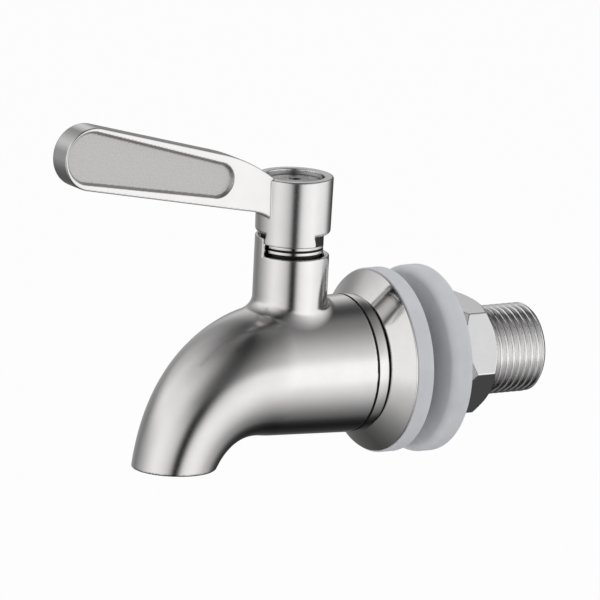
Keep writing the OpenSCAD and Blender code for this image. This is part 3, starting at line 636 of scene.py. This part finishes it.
# ---------------------------------------------------------------- floor
bpy.ops.mesh.primitive_circle_add(vertices=128, radius=2.4, fill_type="NGON", location=(0, 0, -0.112))
floor = bpy.context.object
floor.name = "floor"
floor.visible_glossy = False
pale = Look("pale floor", (0.9, 0.9, 0.9), 0.0, 0.9)
pale.set("Specular IOR Level", 0.0)
mottle = pale.noise(3)
pale.tint(mottle, (0.895, 0.895, 0.895), (0.905, 0.905, 0.905))
glow = pale.node("ShaderNodeEmission")
glow.inputs["Color"].default_value = (1, 1, 1, 1)
rays = pale.node("ShaderNodeLightPath")
share = pale.node("ShaderNodeMath", operation="MULTIPLY")
pale.link(rays.outputs["Is Camera Ray"], share.inputs[0])
share.inputs[1].default_value = 0.9
lit = pale.node("ShaderNodeMixShader")
pale.link(share.outputs[0], lit.inputs["Fac"])
pale.link(pale.shader.outputs[0], lit.inputs[1])
pale.link(glow.outputs[0], lit.inputs[2])
under = pale.node("ShaderNodeNewGeometry")
clear = pale.node("ShaderNodeBsdfTransparent")
sided = pale.node("ShaderNodeMixShader")
pale.link(under.outputs["Backfacing"], sided.inputs["Fac"])
pale.link(lit.outputs[0], sided.inputs[1])
pale.link(clear.outputs[0], sided.inputs[2])
pale.link(sided.outputs[0], pale.tree.nodes["Material Output"].inputs["Surface"])
floor.data.materials.append(pale.mat)

# ---------------------------------------------------------------- studio: two broad soft walls of light
world = bpy.data.worlds.new("studio")
bpy.context.scene.world = world
world.use_nodes = True
tree = world.node_tree
tree.nodes.clear()


def wnode(kind, **values):
    n = tree.nodes.new(kind)
    for key, value in values.items():
        setattr(n, key, value)
    return n


def math_node(op, a, b=None):
    n = wnode("ShaderNodeMath", operation=op)
    for i, x in enumerate((a, b)):
        if x is None:
            continue
        if isinstance(x, (int, float)):
            n.inputs[i].default_value = x
        else:
            tree.links.new(x, n.inputs[i])
    return n.outputs[0]


def ramp(value, stops):
    n = wnode("ShaderNodeValToRGB")
    e = n.color_ramp.elements
    while len(e) < len(stops):
        e.new(0.5)
    for i, (at, level) in enumerate(stops):
        e[i].position = at
        e[i].color = (level, level, level, 1)
    tree.links.new(value, n.inputs["Fac"])
    return n.outputs["Color"]


coord = wnode("ShaderNodeTexCoord")
parts = wnode("ShaderNodeSeparateXYZ")
tree.links.new(coord.outputs["Generated"], parts.inputs[0])
# Angle round Z from the direction (0.853, -0.521), positive towards +Y, as a share of a full turn
ca, sa = math.cos(math.radians(-31.43)), math.sin(math.radians(-31.43))
ahead = math_node("ADD", math_node("MULTIPLY", parts.outputs["X"], ca), math_node("MULTIPLY", parts.outputs["Y"], sa))
aside = math_node("SUBTRACT", math_node("MULTIPLY", parts.outputs["Y"], ca),
                  math_node("MULTIPLY", parts.outputs["X"], sa))
turn = math_node("ADD", math_node("DIVIDE", math_node("ARCTAN2", aside, ahead), 2 * math.pi), 0.5)
height = math_node("ADD", math_node("DIVIDE", math_node("ARCSINE", parts.outputs["Z"]), math.pi), 0.5)


def around(pairs):
    return ramp(turn, [((a + 180) / 360, level) for a, level in pairs])


def upward(pairs):
    return ramp(height, [((a + 90) / 180, level) for a, level in pairs])


def band(value, start, end):
    """Rises smoothly from 0 at start to 1 at end."""
    n = wnode("ShaderNodeMapRange", interpolation_type="SMOOTHSTEP")
    n.inputs["From Min"].default_value = start
    n.inputs["From Max"].default_value = end
    tree.links.new(value, n.inputs["Value"])
    return n.outputs["Result"]


def blend(factor, a, b):
    n = wnode("ShaderNodeMix", data_type="RGBA")
    tree.links.new(factor, n.inputs[0])
    tree.links.new(a, n.inputs[6])
    tree.links.new(b, n.inputs[7])
    return n.outputs[2]


# Two soft boxes of light, left and right of a dark strip, seen below, at and above the horizon
below = around([
    (-180, 0.2), (-150, 0.2), (-128, 0.22), (-110, 0.36), (-82, 0.7), (-57, 1.0), (-32, 0.9), (-20, 0.76),
    (-10, 0.55), (-3, 0.2), (1, 0.03), (9, 0.0), (13, 0.12), (18, 0.45), (26, 0.85), (40, 1.02), (55, 1.04),
    (70, 0.95), (90, 0.67), (110, 0.47), (122, 0.25), (130, 0.12), (142, 0.06), (155, 0.03), (172, 0.07),
    (180, 0.2)])
level_on = around([
    (-180, 0.3), (-165, 0.4), (-150, 0.3), (-128, 0.22), (-110, 0.37), (-95, 0.53), (-82, 0.7), (-70, 0.87),
    (-57, 1.0), (-45, 1.0), (-32, 0.9), (-20, 0.76), (-10, 0.55), (-3, 0.2), (1, 0.03), (9, 0.0), (13, 0.12),
    (18, 0.45), (24, 0.8), (31, 0.97), (45, 1.1), (62, 1.18), (85, 1.04), (104, 0.94), (118, 0.7), (127, 0.34),
    (138, 0.15), (150, 0.06), (162, 0.05), (172, 0.12), (180, 0.3)])
above = around([
    (-180, 0.9), (-168, 0.7), (-158, 0.35), (-146, 0.4), (-132, 0.6), (-122, 0.7), (-113, 0.85), (-100, 1.0),
    (-70, 1.0), (-50, 0.97), (-35, 0.82), (-20, 0.5), (-8, 0.22), (2, 0.1), (12, 0.1), (20, 0.28), (30, 0.5),
    (42, 0.7), (60, 0.9), (75, 1.0), (100, 0.95), (120, 0.75), (135, 0.42), (150, 0.17), (165, 0.25), (180, 0.9)])
walls = blend(band(height, 65 / 180, 77 / 180), below, level_on)
walls = blend(band(height, 94 / 180, 116 / 180), walls, above)
fall_left = upward([
    (-90, 0.02), (-60, 0.15), (-45, 0.35), (-30, 0.6), (-20, 0.82), (-12, 1.0), (5, 1.0), (22, 0.96), (37, 0.82),
    (45, 0.68), (52, 0.54), (60, 0.36), (67, 0.21), (75, 0.16), (90, 0.15)])
fall_right = upward([
    (-90, 0.02), (-75, 0.1), (-67, 0.19), (-59, 0.32), (-52, 0.43), (-44, 0.56), (-37, 0.7), (-30, 0.83),
    (-22, 0.95), (-12, 1.0), (10, 1.02), (18, 0.93), (22, 0.87), (30, 0.74), (37, 0.6), (45, 0.45), (52, 0.33),
    (60, 0.23), (67, 0.17), (90, 0.15)])
fall = blend(band(aside, -0.3, 0.3), fall_left, fall_right)
mixed = wnode("ShaderNodeMix", data_type="RGBA", blend_type="MULTIPLY")
mixed.inputs[0].default_value = 1.0
tree.links.new(walls, mixed.inputs[6])
tree.links.new(fall, mixed.inputs[7])
paths = wnode("ShaderNodeLightPath")
level = wnode("ShaderNodeMix", data_type="RGBA")
tree.links.new(paths.outputs["Is Glossy Ray"], level.inputs[0])
level.inputs[6].default_value = (0.84, 0.84, 0.84, 1)
tree.links.new(mixed.outputs[2], level.inputs[7])
backdrop = wnode("ShaderNodeMix", data_type="RGBA")
seen = math_node("MAXIMUM", paths.outputs["Is Camera Ray"], paths.outputs["Is Transmission Ray"])
tree.links.new(seen, backdrop.inputs[0])
tree.links.new(level.outputs[2], backdrop.inputs[6])
backdrop.inputs[7].default_value = (1, 1, 1, 1)
shade = wnode("ShaderNodeBackground")
tree.links.new(backdrop.outputs[2], shade.inputs["Color"])
out = wnode("ShaderNodeOutputWorld")
tree.links.new(shade.outputs[0], out.inputs["Surface"])


def lamp(name, place, target, size, power):
    data = bpy.data.lights.new(name, "AREA")
    data.shape = "DISK"
    data.size = size
    data.energy = power
    obj = bpy.data.objects.new(name, data)
    bpy.context.scene.collection.objects.link(obj)
    obj.location = place
    obj.rotation_euler = (Vector(target) - Vector(place)).to_track_quat("-Z", "Y").to_euler()
    obj.visible_glossy = False
    return obj


lamp("overhead", (0.15, 0.1, 1.1), (0, 0, 0), 0.9, 1.3)

bpy.context.scene.view_settings.view_transform = "Standard"
